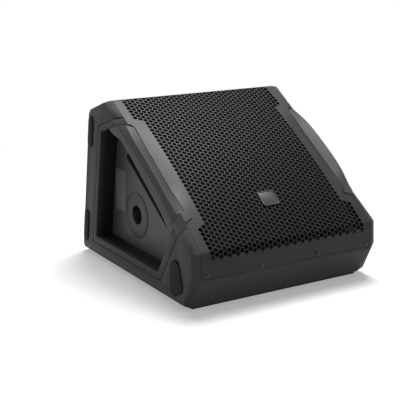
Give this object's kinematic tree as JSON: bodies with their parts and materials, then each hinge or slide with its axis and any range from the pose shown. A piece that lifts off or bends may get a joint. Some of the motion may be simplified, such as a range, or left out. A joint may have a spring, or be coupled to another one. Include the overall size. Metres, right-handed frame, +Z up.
{
  "type": "stage monitor wedge",
  "caption": "Powered floor wedge loudspeaker with a sloping perforated grille, a handle tray in each bevelled side, a pole socket, a coaxial driver and a built-in amplifier.",
  "frame": {"origin": "bottom centre of the bounding box, on the floor", "axes": "+X is the right side seen from the front, +Y points to the back panel and +Z is up; the grille faces -Y and +Z"},
  "size_m": [0.411, 0.4514, 0.3303],
  "materials": {
    "cabinet_paint": "textured black paint",
    "bare_wood": "raw birch plywood",
    "grille_paint": "satin powder coat",
    "moulding": "fine grain",
    "badge": "satin",
    "pad_rubber": "matt",
    "foam": "open cell",
    "wadding": "polyester fibre",
    "black_screw": "black oxide",
    "zinc": "zinc plated",
    "basket_paint": "satin black",
    "paper_cone": "ribbed pulp",
    "surround_cloth": "coated cloth",
    "spider_cloth": "impregnated cloth",
    "copper": "enamelled wire",
    "ferrite": "sintered",
    "alloy": "extruded",
    "circuit": "solder mask",
    "socket_plastic": "satin",
    "button_plastic": "satin",
    "lens": "clear"
  },
  "bodies": {
    "cabinet": {"left_side_cheek": "cabinet_paint", "right_side_cheek": "cabinet_paint", "back_panel": "cabinet_paint", "top_panel": "cabinet_paint", "base_panel": "cabinet_paint", "nose_rail": "cabinet_paint", "baffle_board": "bare_wood", "baffle_battens": "bare_wood", "base_skids": "pad_rubber", "left_side_pads": "pad_rubber", "right_side_pads": "pad_rubber", "grille_sheet": "grille_paint", "grille_foam": "foam", "grille_screws": "black_screw", "badge_plate": "badge", "badge_rim": "badge", "left_tray": "moulding", "right_tray": "moulding", "left_tray_plate": "moulding", "right_tray_plate": "moulding", "left_handle": "moulding", "right_handle": "moulding", "handle_screws": "black_screw", "pole_socket": "moulding", "socket_ring_nut": "zinc", "blank_label_plate": "badge", "reflex_ports": "socket_plastic", "driver_gasket": "foam", "basket": "basket_paint", "surround": "surround_cloth", "spider": "spider_cloth", "front_plate": "zinc", "magnet": "ferrite", "pole_piece": "zinc", "horn_flare": "socket_plastic", "compression_driver": "basket_paint", "driver_screws": "zinc", "amp_plate": "grille_paint", "amp_chassis": "alloy", "amp_board": "circuit", "power_supply": "circuit", "signal_input": "socket_plastic", "signal_link": "socket_plastic", "mains_inlet": "socket_plastic", "mains_outlet": "socket_plastic", "switch_frame": "socket_plastic", "knob_bushes": "zinc", "status_lenses": "lens", "amp_screws": "zinc", "wadding": "wadding"},
    "cone_unit": {"cone": "paper_cone", "voice_coil": "copper"},
    "level_control": {"level_knob": "socket_plastic"},
    "tone_control": {"tone_knob": "socket_plastic"},
    "input_release": {"input_latch": "zinc"},
    "power_switch": {"power_rocker": "socket_plastic"},
    "mode_switch": {"mode_button": "button_plastic"}
  },
  "joints": [
    {"name": "cone_travel", "type": "slide", "parent": "cabinet", "child": "cone_unit", "axis": [0, -0.5563, 0.831], "range_m": [-0.005, 0.005], "stiffness_N_per_m": 3000, "deforming": ["surround", "spider"]},
    {"name": "level_turn", "type": "hinge", "parent": "cabinet", "child": "level_control", "pos_m": [0.17, 0.046, 0.12], "axis": [1, 0, 0], "range_deg": [-150, 150]},
    {"name": "tone_turn", "type": "hinge", "parent": "cabinet", "child": "tone_control", "pos_m": [0.17, 0.078, 0.12], "axis": [1, 0, 0], "range_deg": [-150, 150]},
    {"name": "input_release_push", "type": "slide", "parent": "cabinet", "child": "input_release", "axis": [-1, 0, 0], "range_m": [0, 0.0025], "stiffness_N_per_m": 600},
    {"name": "power_switch_tilt", "type": "hinge", "parent": "cabinet", "child": "power_switch", "pos_m": [0.165, 0.114, 0.082], "axis": [0, 1, 0], "range_deg": [-14, 0]},
    {"name": "mode_push", "type": "slide", "parent": "cabinet", "child": "mode_switch", "axis": [-1, 0, 0], "range_m": [0, 0.002], "stiffness_N_per_m": 500}
  ]
}
